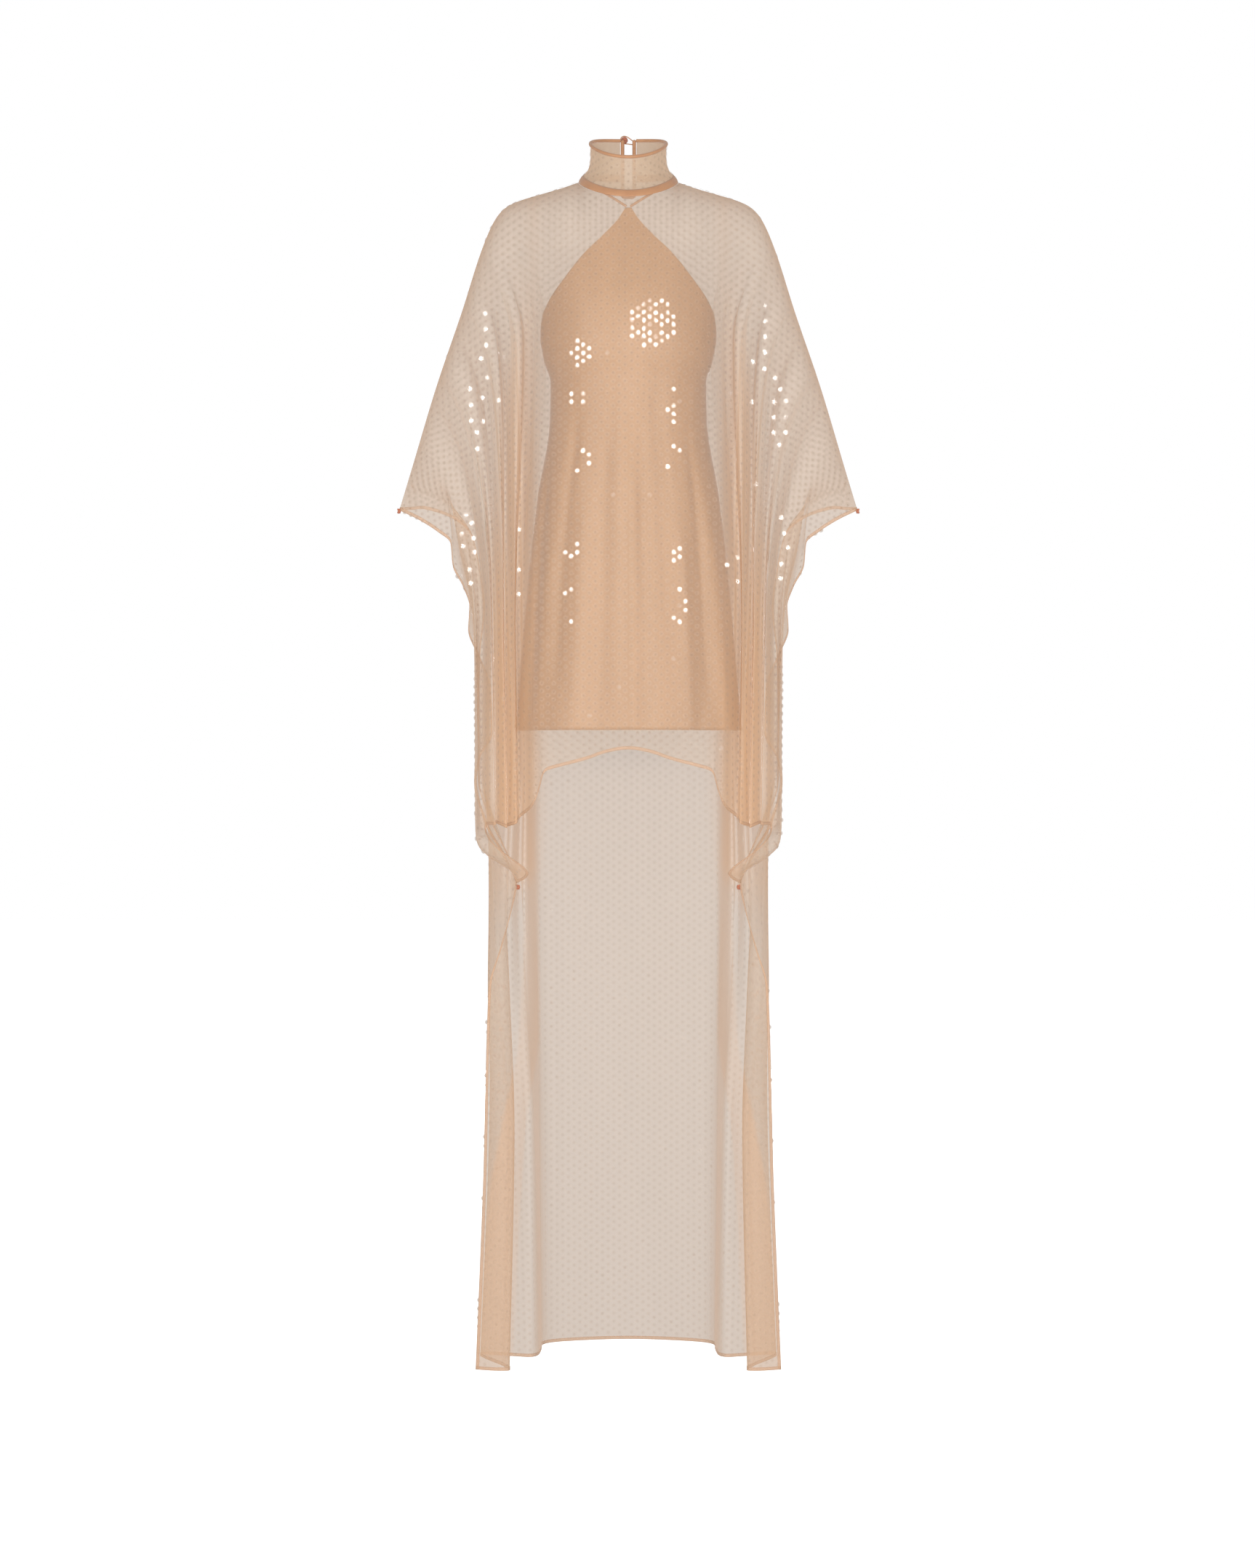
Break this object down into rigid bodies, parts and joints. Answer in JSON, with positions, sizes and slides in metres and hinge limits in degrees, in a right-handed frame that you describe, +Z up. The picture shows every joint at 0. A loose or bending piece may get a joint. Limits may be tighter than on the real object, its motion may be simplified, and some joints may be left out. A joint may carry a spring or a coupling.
{
  "type": "kaftan",
  "caption": "Floor-length sheer sequinned kaftan with a high keyhole collar, cape sleeves cut in one with the panels and a halter slip hung inside.",
  "frame": {"origin": "middle of the neck opening, level with the ends of the shoulder line, where the wearer carries the garment", "axes": "+Z up, the front faces -Y, +X is the wearer's left"},
  "size_m": [0.6408, 0.3584, 1.6895],
  "materials": {
    "sequin_tulle": "sheer net under clear pearly sequins",
    "slip_satin": "soft satin",
    "binding": "matt rolled binding",
    "thread": "matt thread-covered"
  },
  "bodies": {
    "root": {"front_panel": "sequin_tulle", "back_panel": "sequin_tulle", "collar": "sequin_tulle", "neck_seam": "binding", "collar_binding": "binding", "slit_binding": "binding", "slip_front": "slip_satin", "slip_back": "slip_satin", "strap_right": "binding", "strap_left": "binding", "neck_button": "thread", "neck_loop": "binding", "wrist_tack_right": "thread", "wrist_tack_left": "thread", "sleeve_tack_right": "thread", "sleeve_tack_left": "thread"}
  },
  "joints": []
}
